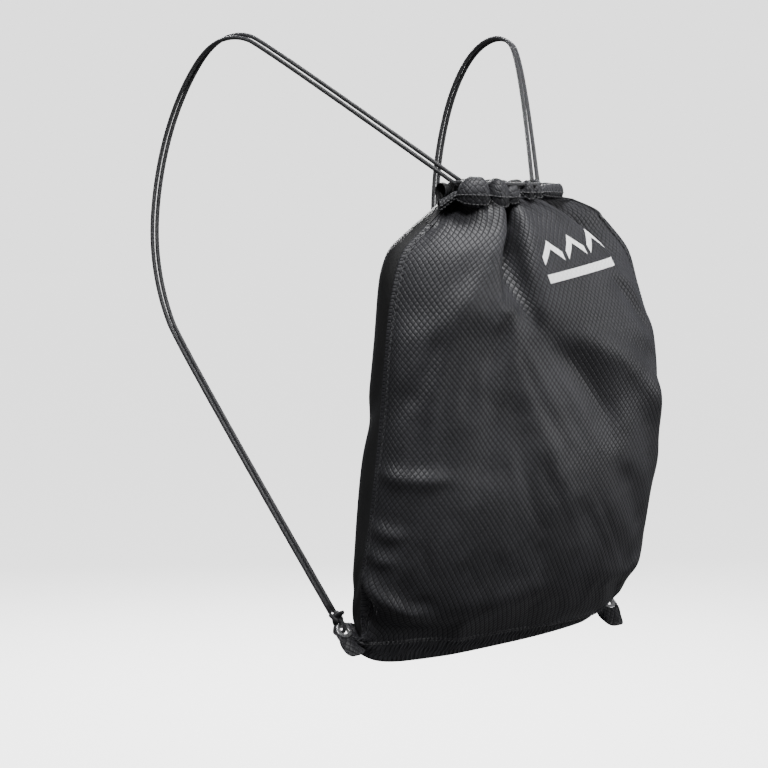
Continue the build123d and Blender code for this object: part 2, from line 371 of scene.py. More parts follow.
def add_mesh(name, points, faces, uv=None):
    mesh = bpy.data.meshes.new(name)
    mesh.from_pydata([tuple(p) for p in points], [], [tuple(f) for f in faces])
    mesh.update()
    if uv is not None:
        layer = mesh.uv_layers.new(name="flat")
        loops = np.empty(len(mesh.loops), np.int32)
        mesh.loops.foreach_get("vertex_index", loops)
        layer.data.foreach_set("uv", np.asarray(uv, np.float32)[loops].ravel())
    mesh.polygons.foreach_set("use_smooth", np.ones(len(mesh.polygons), bool))
    ob = bpy.data.objects.new(name, mesh)
    SCENE.collection.objects.link(ob)
    return ob


WITH_FRONT = "with_front"


def dress(ob, look, slot, body, *nodes):
    """Gives a piece its material, the body that it rides, and the nodes it stands for; slot is not used."""
    ob.data.materials.append(look)
    if nodes:
        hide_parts(*nodes)
    if body == WITH_FRONT:
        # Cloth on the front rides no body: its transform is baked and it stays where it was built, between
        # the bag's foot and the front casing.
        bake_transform(ob)
    else:
        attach(ob, body)
    return ob


# ---- cords
CORD = 0.004
CORD_CORE = CORD / 2 - 0.0001           # radius of a cord without its plaits' relief
PLAIT_RELIEF = 0.00011
PAIR_HALF = 0.0024                      # from a doubled cord's middle line to each cord's
FOOT_HALF = CORD / 2 + 0.00015          # the same, where the cords meet in the knot
# Middle line of each strap's pair of cords, in mm: from the mouth over a shoulder to the corner.
STRAPS = {
    "left": {
        "exit": (-42, -52, 200), "corner": (-146, -28, -188),
        "route": [(-157, 90, 325), (-158, 138, 338), (-160, 188, 331), (-168, 220, 298), (-180, 236, 252),
                  (-190, 241, 198), (-196, 236, 145), (-196, 219, 95), (-192, 190, 51)],
        "sides": [(0.62, -0.05, 0.78), (0.80, 0, 0.60), (0.95, 0, 0.31), (1, 0, 0), (1, 0, 0),
                  (1, 0, 0), (1, 0, 0), (0.97, 0, 0.24), (0.86, 0.30, 0.40)],
        "lengths": (0.933, 0.934), "inward": 1,
    },
    "right": {
        "exit": (39, -52, 202), "corner": (142, -28, -188),
        "route": [(126, 92, 326), (136, 138, 350), (138, 188, 340), (134, 220, 303), (129, 236, 252),
                  (125, 241, 198), (122, 236, 145), (118, 219, 95), (114, 190, 51)],
        "sides": [(-0.55, 0.15, 0.50), (-0.80, 0.20, 0.30), (-0.97, 0, 0.10), (-1, 0, 0), (-1, 0, 0),
                  (-1, 0, 0), (-1, 0, 0), (-0.97, 0, 0.24), (-0.86, -0.10, 0.40)],
        "lengths": (0.927, 0.929), "inward": -1,
    },
}
KNOT_REACH = 0.014                      # from an eyelet to the middle of its knot
STRAP_FOOT = KNOT_REACH + 0.0066        # from an eyelet to the strap's end in the knot
# Across this direction, the two cords of a strap lie side by side where they leave the mouth.
LEVEL_AHEAD = vec(-math.sin(CAMERA_TURN), math.cos(CAMERA_TURN), 0)


def spline_line(points, detail=56):
    """The line of a NURBS whose control points are the given ones, as Blender reads the curve."""
    curve = bpy.data.curves.new("line", "CURVE")
    curve.dimensions, curve.resolution_u = "3D", detail
    spline = curve.splines.new("NURBS")
    spline.points.add(len(points) - 1)
    for slot, p in zip(spline.points, points):
        slot.co = (*p, 1)
    spline.order_u = 3
    spline.use_endpoint_u = True
    ob = bpy.data.objects.new("line", curve)
    mesh = bpy.data.meshes.new_from_object(ob)
    line = np.array([v.co[:] for v in mesh.vertices])
    bpy.data.objects.remove(ob)
    bpy.data.meshes.remove(mesh)
    bpy.data.curves.remove(curve)
    return line


def braided(line, radius, sides=32, closed=False, taper=0.0):
    """A braided tube along a line: (points, faces, uv of each point)."""
    along = lengths_along(line)
    turn = np.linspace(0, TURN, sides, endpoint=False)
    spin = along[:, None] / PLAIT_PITCH * TURN
    relief = np.cos(PLAITS / 2 * (turn + spin)) * np.cos(PLAITS / 2 * (turn - spin))
    swell = radius + PLAIT_RELIEF * relief
    if taper:
        reach = np.minimum(along, along[-1] - along)[:, None]
        swell = swell * np.sqrt(np.clip(reach / taper, 0.02, 1))
    faces = grid_faces(len(line), sides, closed=True, looped=closed)
    if not closed:
        faces += end_caps(len(line), sides)
    uv = np.stack(np.broadcast_arrays(turn / TURN, along[:, None]), -1)
    return tube(line, swell, turn, closed).reshape(-1, 3), faces, uv.reshape(-1, 2)


def pull_of(strap):
    return (Vector(strap["route"][-1]) - Vector(strap["corner"])).normalized()


def make_straps():
    for name, strap in STRAPS.items():
        exit_point = Vector(strap["exit"]) * MM
        corner = Vector(strap["corner"]) * MM
        pull = pull_of(strap)
        bottom = corner + pull * STRAP_FOOT
        first = Vector(strap["route"][0]) * MM
        beside = (first - exit_point).cross(LEVEL_AHEAD).normalized()
        if beside.dot(Vector(strap["sides"][0])) < 0:
            beside = -beside
        last_side = Vector(strap["sides"][-1])
        across_end = (last_side - pull * last_side.dot(pull)).normalized()
        for label, sign, length in zip(("outer", "inner"), (1, -1), strap["lengths"]):
            points = [exit_point + beside * (sign * PAIR_HALF)]
            for place, side in zip(strap["route"], strap["sides"]):
                points.append(Vector(place) * MM + Vector(side).normalized() * (sign * PAIR_HALF))
            points.append(bottom + across_end * (sign * FOOT_HALF))
            line = spline_line(points)
            ob = add_mesh(f"{name}_strap_{label}", *braided(line, CORD_CORE))
            dress(ob, CORD_LOOK, "cord", f"{name}_strap", f"{name}_strap_{label}_cord")


make_straps()

# ---- cloth simulation
FLAT_WIDTH = 0.340           # each panel, seam to seam
FLAT_HEIGHT = 0.425          # from the bottom fold to the casing's stitch line
COLUMNS, ROWS = 60, 74
SLIT = 0.018                 # the side seams stop this far below the casing
BOTTOM = -0.206
SEAM_Y = -0.050
SEAM_ROWS = round((FLAT_HEIGHT - SLIT) / FLAT_HEIGHT * ROWS)
LAST_FRAME = 30
NEAREST_WEARER = -0.0005     # the cloth starts this side of the wearer's back
BELLY_HOLD, MOUTH_HOLD = 0.06, 0.40   # how strongly the cloth is held to the given shape
HOLD_FROM, HOLD_RISE = 0.62, 0.2      # the hold grows from here up, in shares of the height
HEM_LEVEL = -208             # of the hem's middle, in mm
LEFT_DROP = 11.0             # of the casing's left end, in mm
DROP_FROM, DROP_RISE = 130, 57        # and the heights over which it grows

# ---- given shape of the filled bag
# Sections seen from above, in mm: (height, points from the left seam to the right seam).
FRONT_MOUTH = [
    (187, [(-62, -53), (-57, -52), (-50, -47), (-44, -52), (-46, -63), (-38, -76), (-29, -67), (-21, -81),
           (-12, -80), (-12, -60), (-9, -42), (-4, -40), (-4, -56), (-1, -71), (5, -76), (11, -69),
           (21, -75), (34, -71), (28, -54), (54, -56), (80, -53)]),
    (176, [(-70, -54), (-65, -57), (-58, -55), (-49, -51), (-45, -64), (-37, -82), (-28, -78), (-21, -87),
           (-12, -85), (-16, -64), (-12, -46), (-5, -45), (-4, -60), (-1, -77), (5, -83), (16, -77),
           (34, -80), (58, -77), (49, -54), (84, -57), (111, -53)]),
    (163, [(-83, -56), (-75, -63), (-65, -71), (-53, -73), (-44, -81), (-37, -87), (-29, -87), (-22, -92),
           (-14, -90), (-20, -72), (-15, -55), (-6, -53), (-4, -67), (-1, -84), (5, -91), (24, -86),
           (50, -84), (77, -80), (69, -55), (102, -58), (122, -53)]),
    (140, [(-103, -58), (-94, -70), (-81, -82), (-68, -90), (-56, -94), (-47, -97), (-39, -100), (-32, -101),
           (-24, -98), (-29, -81), (-20, -68), (-9, -68), (-4, -80), (-2, -93), (4, -101), (28, -98),
           (66, -93), (106, -83), (96, -60), (128, -62), (143, -53)]),
    (115, [(-112, -59), (-103, -73), (-90, -85), (-77, -94), (-64, -99), (-55, -102), (-46, -105),
           (-38, -106), (-29, -104), (-29, -91), (-19, -83), (-9, -84), (-4, -92), (-1, -103), (5, -108),
           (36, -106), (82, -99), (125, -87), (128, -76), (142, -67), (152, -53)]),
    (90, [(-118, -60), (-108, -76), (-95, -88), (-82, -97), (-68, -103), (-56, -107), (-44, -110),
          (-33, -112), (-22, -112), (-17, -105), (-10, -101), (-5, -101), (-1, -105), (3, -110), (9, -112),
          (40, -110), (86, -103), (128, -89), (141, -79), (153, -67), (161, -53)]),
]
BACK_MOUTH = [
    (187, [(-62, -53), (-60, -45), (-49, -38), (-42, -28), (-32, -24), (-25, -34), (-14, -38), (-7, -26),
           (4, -20), (12, -31), (21, -36), (28, -24), (40, -22), (48, -34), (60, -38), (80, -46), (80, -53)]),
    (163, [(-83, -56), (-89, -44), (-78, -32), (-63, -22), (-48, -19), (-36, -25), (-22, -26), (-8, -18),
           (6, -13), (20, -21), (34, -23), (48, -15), (64, -14), (82, -22), (103, -31), (122, -44),
           (122, -53)]),
    (140, [(-103, -58), (-112, -43), (-100, -26), (-82, -16), (-62, -12), (-44, -14), (-26, -15),
           (-10, -10), (8, -8), (26, -11), (44, -13), (62, -8), (82, -9), (104, -17), (125, -29),
           (143, -42), (143, -53)]),
    (115, [(-112, -59), (-120, -42), (-105, -22), (-90, -10), (-68, -7), (-48, -7), (-28, -7), (-10, -5),
           (8, -5), (28, -6), (48, -7), (68, -5), (90, -6), (112, -11), (134, -24), (152, -40), (152, -53)]),
]
# Height, left seam (x, y), right seam (x, y), front y, back y: smooth sections below the folds.
BELLY = [
    (65, (-122, -61), (164, -52), -110, -3), (10, (-127, -62), (168, -52), -113, -1),
    (-50, (-134, -61), (166, -52), -113, -1), (-110, (-139, -57), (160, -50), -107, -2),
    (-150, (-142, -50), (150, -46), -98, -5), (-178, (-142, -42), (142, -38), -84, -14),
    (-196, (-138, -40), (132, -38), -68, -30),
]
HEM = [(-144, -28, -190), (-136, -38, -206), (-114, -46, -215), (-60, -51, -213), (0, -53, -208),
       (50, -53, -203), (90, -50, -198), (120, -42, -194), (140, -28, -190)]


def smooth_line(points, count, measure=3):
    """Places along a given line, its corners rounded, evenly spaced by its first few columns."""
    line = np.array(points, float)
    for _ in range(3):
        cut = [line[0]]
        for a, b in zip(line[:-1], line[1:]):
            cut += [0.75 * a + 0.25 * b, 0.25 * a + 0.75 * b]
        line = np.array([*cut, line[-1]])
    along = lengths_along(line[:, :measure])
    at = np.linspace(0, along[-1], count)
    return np.stack([np.interp(at, along, line[:, k]) for k in range(line.shape[1])], 1)


def belly_section(left, right, deep, count):
    """A smooth section from seam to seam whose middle reaches y = deep."""
    t = np.linspace(0, math.pi, 61)
    boxy = 2 / (2.35 if deep < -40 else 3.2)
    x = (left[0] + right[0]) / 2 - (right[0] - left[0]) / 2 * np.sign(np.cos(t)) * np.abs(np.cos(t)) ** boxy
    base = np.interp(x, [left[0], right[0]], [left[1], right[1]])
    y = base + (deep - base) * np.sin(t) ** boxy
    return smooth_line(np.column_stack([x, y]), count)


def hand_set(side):
    """The panel's grid of places before the cloth relaxes, in metres."""
    mouth = FRONT_MOUTH if side == "front" else BACK_MOUTH
    count = COLUMNS + 1
    rows = [(z, np.column_stack([smooth_line(p, count), np.full(count, z)])) for z, p in mouth]
    for z, left, right, front, back in BELLY:
        plan = belly_section(left, right, front if side == "front" else back, count)
        rows.append((z, np.column_stack([plan, np.full(count, z)])))
    hem = smooth_line(HEM, count)
    rows.append((HEM_LEVEL, hem))
    rows.sort(key=lambda row: row[0])
    levels = np.array([z for z, _ in rows], float)
    knots = np.stack([places for _, places in rows])
    at = np.linspace(levels[0], levels[-1], ROWS + 1)
    grid = np.empty((ROWS + 1, count, 3))
    for i in range(count):
        for k in range(3):
            grid[:, i, k] = gentle(levels, knots[:, i, k], at)
    # The casing's loose left end hangs lower than the rest of the mouth.
    share = np.clip(1 - np.arange(count) / (0.13 * COLUMNS), 0, 1) ** 1.5
    grid[..., 2] -= LEFT_DROP * share * np.clip((grid[..., 2] - DROP_FROM) / DROP_RISE, 0, 1) ** 1.5
    return grid * MM


def gentle(x, y, at):
    """A monotone cubic through the given values (Fritsch and Carlson)."""
    h, d = np.diff(x), np.diff(y) / np.diff(x)
    m = np.zeros(len(x))
    m[0], m[-1] = d[0], d[-1]
    for i in range(1, len(x) - 1):
        if d[i - 1] * d[i] > 0:
            w = (2 * h[i] + h[i - 1], h[i] + 2 * h[i - 1])
            m[i] = (w[0] + w[1]) / (w[0] / d[i - 1] + w[1] / d[i])
    j = np.clip(np.searchsorted(x, at, side="right") - 1, 0, len(h) - 1)
    t = (at - x[j]) / h[j]
    return (
        y[j] * (1 + 2 * t) * (1 - t) ** 2 + h[j] * m[j] * t * (1 - t) ** 2
        + y[j + 1] * t * t * (3 - 2 * t) + h[j] * m[j + 1] * t * t * (t - 1)
    )


def flat_bag():
    """Two flat panels that share their side seams and bottom fold: (points, faces, numbering)."""
    points, number, faces = [], {}, []

    def point(side, i, j):
        shared = j == 0 or (i in (0, COLUMNS) and j <= SEAM_ROWS)
        key = ("both" if shared else side, i, j)
        if key not in number:
            swell = 0.012 * math.sin(math.pi * i / COLUMNS) * math.sin(0.2 + 1.5 * j / ROWS)
            y = SEAM_Y + (0 if shared else (0.001 + swell) * (-1 if side == "front" else 1))
            number[key] = len(points)
            points.append(((i / COLUMNS - 0.5) * FLAT_WIDTH + 0.004, y, BOTTOM + j / ROWS * FLAT_HEIGHT))
        return number[key]

    for side in ("front", "back"):
        for j in range(ROWS):
            for i in range(COLUMNS):
                corners = [(i, j), (i + 1, j), (i + 1, j + 1), (i, j + 1)]
                if side == "back":
                    corners.reverse()
                faces.append([point(side, a, b) for a, b in corners])
    grids = {
        side: np.array([
            [number[("both" if ("both", i, j) in number else side, i, j)] for i in range(COLUMNS + 1)]
            for j in range(ROWS + 1)
        ])
        for side in ("front", "back")
    }
    return np.array(points), faces, grids


# Soft folds of the worn cloth on the flat panels, in mm: from (u, v) to (u, v), how far the middle
# bows to the left of the way there, half width, and height, which is below zero for a hollow.
CREASES = {
    "front": [
        (2, 82, 70, 36, -9, 5, 6.0), (0, 62, 38, 26, -6, 6, -5.0), (5, 174, 68, 168, -4, 5.5, 3.2),
        (4, 126, 34, 114, -2, 4.5, 3.2), (2, 103, 28, 90, -2, 4, 3.4), (165, 288, 236, 200, 8, 11, -4.5),
        (205, 292, 306, 212, 10, 12, 4.0), (80, 352, 42, 215, -6, 11, 3.2), (118, 250, 92, 160, 6, 13, -3.4),
        (246, 168, 300, 96, 6, 10, -3.0), (100, 48, 190, 56, -5, 10, 2.4), (150, 210, 190, 120, 8, 14, 2.6),
        (52, 300, 20, 230, 3, 7, -2.4), (286, 262, 322, 150, -4, 9, 2.6), (300, 60, 336, 96, -6, 7, 2.6),
        (118, 330, 96, 262, 3, 6, -2.6), (262, 352, 300, 292, 3, 6, -2.2),
    ],
    "back": [
        (60, 402, 84, 300, 4, 8, 3.0), (130, 405, 140, 290, -3, 9, -3.0), (200, 405, 196, 300, 4, 8, 3.0),
        (270, 400, 250, 310, -4, 8, -2.6), (20, 60, 90, 20, 8, 8, -2.5), (320, 60, 250, 22, -8, 8, -2.5),
        (12, 240, 60, 150, 6, 9, -2.4), (330, 250, 288, 160, -6, 9, -2.2),
    ],
}


CREASE_DEPTH = 1.5           # how much of a fold's height the cloth shows
BACK_RISE = 0.6              # the most that the back stands out towards the wearer, in mm


def creased(grid, side):
    """The panel's places with its soft folds pressed in along its own normals."""
    across = np.arange(COLUMNS + 1) / COLUMNS * FLAT_WIDTH / MM
    up = np.arange(ROWS + 1) / ROWS * FLAT_HEIGHT / MM
    u, v = np.meshgrid(across, up)
    rise = np.zeros_like(u)
    for u0, v0, u1, v1, bow, wide, high in CREASES[side]:
        length = math.hypot(u1 - u0, v1 - v0)
        du, dv = (u1 - u0) / length, (v1 - v0) / length
        along = ((u - u0) * du + (v - v0) * dv) / length
        inside = np.clip(along, 0, 1)
        aside = -(u - u0) * dv + (v - v0) * du - bow * 4 * inside * (1 - inside)
        beyond = (along - inside) * length
        fade = np.clip(4 * (inside + 0.08) * (1.08 - inside), 0, 1)
        spread_out = 2 * (wide * (0.6 + 0.4 * fade)) ** 2
        rise += CREASE_DEPTH * high * fade * np.exp(-(aside**2 + beyond**2) / spread_out)
    edge = np.minimum(np.minimum(u, FLAT_WIDTH / MM - u) / 7, np.minimum(v, FLAT_HEIGHT / MM - v) / 9)
    rise *= np.clip(edge, 0, 1)
    normals = grid_normals(grid) * (1 if side == "front" else -1)
    if side == "back":
        rise = np.minimum(rise, BACK_RISE)
    return grid + normals * (rise * MM)[..., None]


def simulate_bag():
    """Relaxes the given shape into cloth of the flat pattern's size. Returns each panel's grid."""
    flat, faces, grids = flat_bag()
    places, uses = np.zeros_like(flat), np.zeros(len(flat))
    for side, grid in grids.items():
        places[grid] += hand_set(side)
        uses[grid] += 1
    places /= uses[:, None]
    places[:, 1] = np.minimum(places[:, 1], NEAREST_WEARER)
    bag = add_mesh("cloth_bag", places, faces)
    bag.shape_key_add(name="Basis")
    key = bag.shape_key_add(name="flat")
    key.data.foreach_set("co", flat.astype(np.float32).ravel())
    key.value = 0
    held = bag.vertex_groups.new(name="held")
    fixed = []
    for grid in grids.values():
        for j, row in enumerate(grid):
            share = np.clip((j / ROWS - HOLD_FROM) / HOLD_RISE, 0, 1)
            weight = BELLY_HOLD + (MOUTH_HOLD - BELLY_HOLD) * share * share * (3 - 2 * share)
            held.add([int(k) for k in row], float(weight), "REPLACE")
        fixed += [int(k) for k in (*grid[ROWS], *grid[0][:2], *grid[0][-2:])]
        fixed += [int(grid[j][i]) for j in range(SEAM_ROWS - 6, ROWS) for i in (0, COLUMNS)]
    held.add(fixed, 1.0, "REPLACE")
    cloth = bag.modifiers.new("cloth", "CLOTH")
    set_cloth(cloth, key)
    for number in range(1, LAST_FRAME + 1):
        SCENE.frame_set(number)
    seen = bag.evaluated_get(bpy.context.evaluated_depsgraph_get())
    settled = np.empty(len(flat) * 3, np.float32)
    seen.data.vertices.foreach_get("co", settled)
    settled = settled.reshape(-1, 3).astype(float)
    bpy.data.objects.remove(bag)
    SCENE.frame_set(1)
    return {side: creased(settled[grid], side) for side, grid in grids.items()}


def set_cloth(cloth, rest):
    s = cloth.settings
    s.rest_shape_key = rest
    s.quality, s.mass = 6, 0.10
    s.tension_stiffness = s.compression_stiffness = 15
    s.shear_stiffness, s.bending_stiffness = 5, 0.10
    s.tension_damping = s.compression_damping = s.shear_damping = 5
    s.bending_damping, s.air_damping = 0.5, 1.0
    s.vertex_group_mass, s.pin_stiffness = "held", 1.0
    s.effector_weights.gravity = 0.05
    c = cloth.collision_settings
    c.use_collision, c.collision_quality, c.distance_min = True, 2, 0.0015
    c.use_self_collision, c.self_distance_min, c.self_friction = True, 0.002, 1
    cloth.point_cache.frame_start, cloth.point_cache.frame_end = 1, LAST_FRAME
    SCENE.frame_start, SCENE.frame_end = 1, LAST_FRAME


# ---- smooth panels
class Panel:
    """A smooth cubic surface through one panel's simulated grid, read by flat-cloth distances."""

    def __init__(self, grid, out):
        self.out = out
        self.knots = np.swapaxes(self._extended(np.swapaxes(self._extended(grid), 0, 1)), 0, 1)
        # The cloth's length across, from its middle line, averaged over each row and its neighbours.
        fine, near = 4, 4
        across, up = np.linspace(0, FLAT_WIDTH, fine * COLUMNS + 1), np.linspace(0, FLAT_HEIGHT, ROWS + 1)
        u, v = np.meshgrid(across, up)
        steps = np.linalg.norm(np.diff(self.at(u, v)[0], axis=1, prepend=0), axis=2)
        steps[:, 0] = 0
        reach = np.cumsum(steps, axis=1)[:, ::fine]
        reach = np.pad(reach - reach[:, [COLUMNS // 2]], ((near, near), (0, 0)), "edge")
        rows = 2 * near + 1
        self.reach = sum(reach[k:k + ROWS + 1] for k in range(rows)) / rows + FLAT_WIDTH / 2

    @staticmethod
    def _extended(rows):
        """The rows with one more at each end, in line with its neighbours."""
        return np.concatenate([2 * rows[:1] - rows[1:2], rows, 2 * rows[-1:] - rows[-2:-1]])

    @staticmethod
    def _cell(u, v):
        """Which grid cell holds each place, and where in it."""
        x, y = np.clip(u / FLAT_WIDTH * COLUMNS, 0, COLUMNS), np.clip(v / FLAT_HEIGHT * ROWS, 0, ROWS)
        i, j = np.minimum(x.astype(int), COLUMNS - 1), np.minimum(y.astype(int), ROWS - 1)
        return i, j, x - i, y - j

    @staticmethod
    def _weights(t):
        return np.stack([(1 - t) ** 3, 3 * t**3 - 6 * t**2 + 4, -3 * t**3 + 3 * t**2 + 3 * t + 1, t**3]) / 6

    @staticmethod
    def _slopes(t):
        return np.stack([-((1 - t) ** 2), 3 * t**2 - 4 * t, -3 * t**2 + 2 * t + 1, t**2]) / 2

    def at(self, u, v):
        """Places and outward normals at u across and v up the flat cloth, in metres."""
        u, v = np.broadcast_arrays(np.asarray(u, float), np.asarray(v, float))
        i, j, x, y = self._cell(u, v)
        wx, wy = self._weights(x), self._weights(y)
        sx, sy = self._slopes(x), self._slopes(y)
        place = np.zeros((*u.shape, 3))
        along, up = np.zeros_like(place), np.zeros_like(place)
        for a in range(4):
            for b in range(4):
                knot = self.knots[j + b, i + a]
                place += (wx[a] * wy[b])[..., None] * knot
                along += (sx[a] * wy[b])[..., None] * knot
                up += (wx[a] * sy[b])[..., None] * knot
        normal = np.cross(along, up) * self.out
        size = np.linalg.norm(normal, axis=-1, keepdims=True)
        return place, normal / np.maximum(size, 1e-12)

    def grain(self, u, v):
        """The weave's coordinates: across by the cloth's length from its middle line, and up."""
        i, j, a, b = self._cell(u, v)
        low = self.reach[j, i] * (1 - a) + self.reach[j, i + 1] * a
        high = self.reach[j + 1, i] * (1 - a) + self.reach[j + 1, i + 1] * a
        return np.column_stack([(low * (1 - b) + high * b).ravel(), v.ravel()])


# ---- the bag's cloth
FINE = 3                     # mesh cells to a cell of the simulated grid
# Each panel's material, slot and body.
CLOTHS = {"front": (FRONT_LOOK, "ripstop_front", WITH_FRONT), "back": (BACK_LOOK, "plain_back", "bag")}


def make_panels():
    across = np.linspace(0, FLAT_WIDTH, COLUMNS * FINE + 1)
    up = np.linspace(0, FLAT_HEIGHT, ROWS * FINE + 1)
    u, v = np.meshgrid(across, up)
    for side, nodes in (("front", ("front_panel", "front_gathers")), ("back", ("back_panel",))):
        place, _ = PANELS[side].at(u, v)
        faces = grid_faces(*u.shape, flip=side == "back")
        ob = add_mesh(f"{side}_cloth", place.reshape(-1, 3), faces, PANELS[side].grain(u, v))
        dress(ob, *CLOTHS[side], *nodes)


# ---- seams, hems and stitches
SEAM_TOP = SEAM_ROWS / ROWS * FLAT_HEIGHT
EDGES = {"left": (0.0, 1), "right": (FLAT_WIDTH, -1)}   # each side's u, and the way into the cloth
FELL = 0.0058                # width of a seam allowance felled onto the cloth
PLY = 0.0007                 # how far a felled or folded layer stands proud
TUCK = -0.0003               # where a layer's edge goes under the cloth's face
STITCH_IN = 0.0014           # from a felled edge to its stitches
SEAM_OUT, RIM_HALF = 0.0011, 0.0008     # how far a seam's fold stands out, and half its thickness
SLIT_OUT, SLIT_HALF, INSIDE = 0.0008, 0.0005, -0.0009   # the same of a slit's hem, and its inner layer
BARS, BAR_PITCH, BAR_LENGTH = 9, 0.00055, 0.008         # threads of a bartack


def fold_over(name, lines, look, slot, body, *nodes):
    """A band over an edge: lines are rows of (places, uv) from one side of the fold to the other."""
    places = np.stack([place for place, _ in lines])
    uv = np.stack([t for _, t in lines])
    ob = add_mesh(name, places.reshape(-1, 3), grid_faces(*places.shape[:2]), uv.reshape(-1, 2))
    return dress(ob, look, slot, body, *nodes)


def lifted(side, u, v, lift):
    place, normal = PANELS[side].at(u, v)
    return place + normal * np.broadcast_to(lift, np.shape(u))[..., None], np.stack([u, v], -1)


def strip(side, v, edge, inward, depths):
    """Rows that run along an edge, each at a depth into the cloth and a lift from its face."""
    return [lifted(side, np.full_like(v, edge + inward * depth), v, lift) for depth, lift in depths]


def stitch_row(line, normals, pitch=0.0030, share=0.68, radius=0.00028):
    """Thread stitches along a line, each dipping into the cloth at both ends."""
    along = lengths_along(line)
    count = max(int(along[-1] / pitch), 1)
    sides, rings = 6, 5
    lift = radius * np.array([-0.6, 0.75, 1.0, 0.75, -0.6])
    thick = radius * np.array([0.7, 1, 1, 1, 0.7])[:, None]
    turn = np.linspace(0, TURN, sides, endpoint=False)
    faces = grid_faces(rings, sides, closed=True) + end_caps(rings, sides)
    parts = []
    for n in range(count):
        at = (n + 0.5) * along[-1] / count + np.linspace(-0.5, 0.5, rings) * pitch * share
        place, normal = (
            np.stack([np.interp(at, along, table[:, k]) for k in range(3)], -1) for table in (line, normals)
        )
        points = tube(place + normal * lift[:, None], thick, turn)
        parts.append((points.reshape(-1, 3), faces, np.zeros((rings * sides, 2))))
    return joined(parts)


def add_stitches(name, rows, body, *nodes):
    dress(add_mesh(name, *joined([stitch_row(*row) for row in rows])), THREAD_LOOK, "thread", body, *nodes)


def panel_row(side, u, v, lift):
    place, normal = PANELS[side].at(u, v)
    return place + normal * lift, normal


def make_side_seam(name, edge, inward):
    """The side seam, felled onto the front, with its fold standing out round the edge."""
    v = np.linspace(0.006, SEAM_TOP, 240)
    pucker = 0.00007 * np.sin(v * TURN / 0.0052)
    lines = strip("front", v, edge, inward, [
        (FELL, TUCK), (FELL - 0.0003, PLY + pucker), (FELL * 0.75, PLY * 1.1 + pucker),
        (FELL * 0.5, PLY + pucker), (FELL * 0.25, PLY * 1.2 + pucker),
    ])
    front, back = (PANELS[side].at(np.full_like(v, edge), v) for side in ("front", "back"))
    rim = (front[0] + back[0]) / 2 + np.array([-inward, 0, 0]) * SEAM_OUT
    lines += [(rim + normal * RIM_HALF, lines[-1][1]) for _, normal in (front, back)]
    lines += strip("back", v, edge, inward, [(0.0014, PLY), (0.0026, PLY * 0.8), (0.003, TUCK)])
    fold_over(f"{name}_seam_fold", lines, FRONT_LOOK, "plain_back", WITH_FRONT, f"{name}_side_seam")
    u = np.full_like(v, edge + inward * (FELL - STITCH_IN))
    row = panel_row("front", u, v, PLY)
    add_stitches(f"{name}_seam_topstitch", [row], WITH_FRONT, f"{name}_seam_stitching")


def make_slit_hem(name, side, edge, inward):
    """A panel's own edge above the side seam, turned under and stitched."""
    v = np.linspace(SEAM_TOP + 0.0005, FLAT_HEIGHT, 60)
    look, slot, body = CLOTHS[side]
    (rim, normal), (inner, _) = (PANELS[side].at(np.full_like(v, edge + inward * d), v) for d in (0.0, 0.003))
    out = rim - inner
    out /= np.maximum(np.linalg.norm(out, axis=-1, keepdims=True), 1e-9)
    lines = strip(side, v, edge, inward, [
        (FELL, TUCK), (FELL - 0.0004, PLY * 0.8), (FELL / 2, PLY), (0.001, PLY),
    ])
    lines += [(rim + out * SLIT_OUT + normal * k, lines[-1][1]) for k in (SLIT_HALF, -SLIT_HALF)]
    lines += strip(side, v, edge, inward, [(0.001, INSIDE), (FELL, INSIDE)])
    fold_over(f"{name}_{side}_slit_hem", lines, look, slot, body)
    u = np.full_like(v, edge + inward * (FELL - STITCH_IN))
    add_stitches(f"{name}_{side}_slit_stitches", [panel_row(side, u, v, PLY * 0.8)], body)


def make_bartack(name, edge, inward):
    """Dense bars of thread across the foot of a slit."""
    u = edge + inward * np.linspace(0.0, BAR_LENGTH, 12)
    rows = []
    for k in range(BARS):
        level = np.full_like(u, SEAM_TOP - 0.0022 + BAR_PITCH * k)
        rows.append((*panel_row("front", u, level, PLY * 1.2), 0.0040, 0.96, 0.0003))
    add_stitches(f"{name}_bartack", rows, WITH_FRONT, f"{name}_slit_bartack")


HEM_TALL = 0.0092            # the bottom hem's stitch line above the fold
HEM_DROP = 0.0035            # the fold hangs this far below the panels' meeting line


def make_bottom_hem():
    """The turned-under band along the bottom, finely puckered by its stitching."""
    u = np.linspace(0.004, FLAT_WIDTH - 0.004, 560)
    rib = 0.00032 * np.sin(u * TURN / 0.0046) + 0.0002 * np.sin(u * TURN / 0.0113 + 1)
    edge = (HEM_TALL + 0.0004, TUCK, 0), (HEM_TALL, PLY * 0.8, 0.3)
    front = (*edge, (HEM_TALL * 0.7, PLY * 1.4, 1), (HEM_TALL * 0.35, PLY * 1.5, 1), (0.0008, PLY * 1.5, 1))
    back = ((0.0008, PLY * 1.5, 1), (HEM_TALL * 0.5, PLY * 1.4, 1), *edge[::-1])
    lines = [lifted("front", u, np.full_like(u, v), lift + share * rib) for v, lift, share in front]
    fold, uv = lifted("front", u, np.zeros_like(u), 0.0)
    for out in (-1, 0, 1):
        drop = np.array([0, out * 0.0014, -HEM_DROP * (1 - 0.35 * abs(out))])
        lines.append((fold + drop + np.array([0, out, 0]) * rib[:, None] * 0.7, uv))
    lines += [lifted("back", u, np.full_like(u, v), lift + share * rib) for v, lift, share in back]
    fold_over("bottom_hem_band", lines, FRONT_LOOK, "ripstop_front", "bag", "bottom_hem")
    level = np.full_like(u, HEM_TALL - 0.0012)
    rows = [panel_row(side, u, level, PLY * 1.1) for side in ("front", "back")]
    add_stitches("bottom_hem_stitches", rows, "bag", "bottom_hem_stitching")


